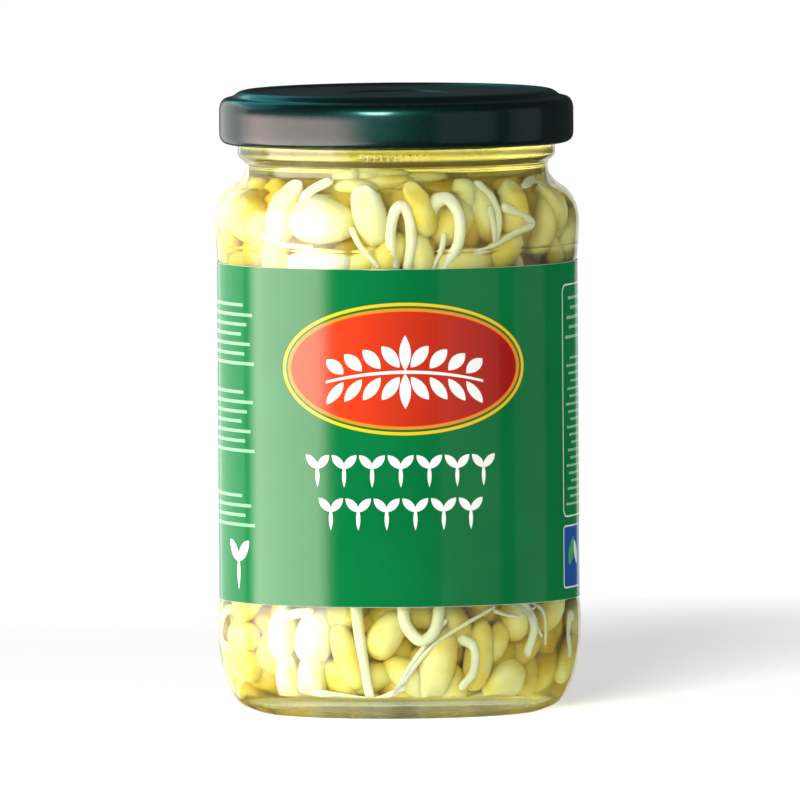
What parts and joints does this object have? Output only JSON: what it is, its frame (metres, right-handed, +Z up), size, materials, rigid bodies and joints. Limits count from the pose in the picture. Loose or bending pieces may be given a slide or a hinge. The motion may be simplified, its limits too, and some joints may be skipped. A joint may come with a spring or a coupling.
{
  "type": "jar of bean sprouts",
  "caption": "Round glass jar of bean sprouts in brine, with a wrap-round paper label and a dark twist-off metal lid that turns on its threads.",
  "frame": {"origin": "centre of the ring that the jar stands on, at floor level", "axes": "+Z up along the jar's axis, -Y out through the front of the label, +X to the right seen from the front"},
  "size_m": [0.071, 0.071, 0.1213],
  "materials": {
    "clear_glass": "clear moulded soda-lime glass, smooth",
    "lid_enamel": "dark blue-green lacquer on pressed tinplate, semi-gloss",
    "sealing_compound": "soft off-white sealing compound",
    "printed_paper": "varnished green printed paper",
    "brine": "clear straw-yellow brine",
    "sprout_flesh": null
  },
  "bodies": {
    "jar": {"glass_jar": "clear_glass", "label": "printed_paper", "brine": "brine", "sprouts_bottom": "sprout_flesh", "sprouts_middle": "sprout_flesh", "sprouts_top": "sprout_flesh"},
    "lid_turning": {"lid": "lid_enamel", "lid_seal": "sealing_compound"}
  },
  "joints": [
    {"name": "lid_twist", "type": "hinge", "parent": "jar", "child": "lid_turning", "pos_m": [0, 0, 0.115], "axis": [0, 0, 1], "range_deg": [0, 60]}
  ]
}
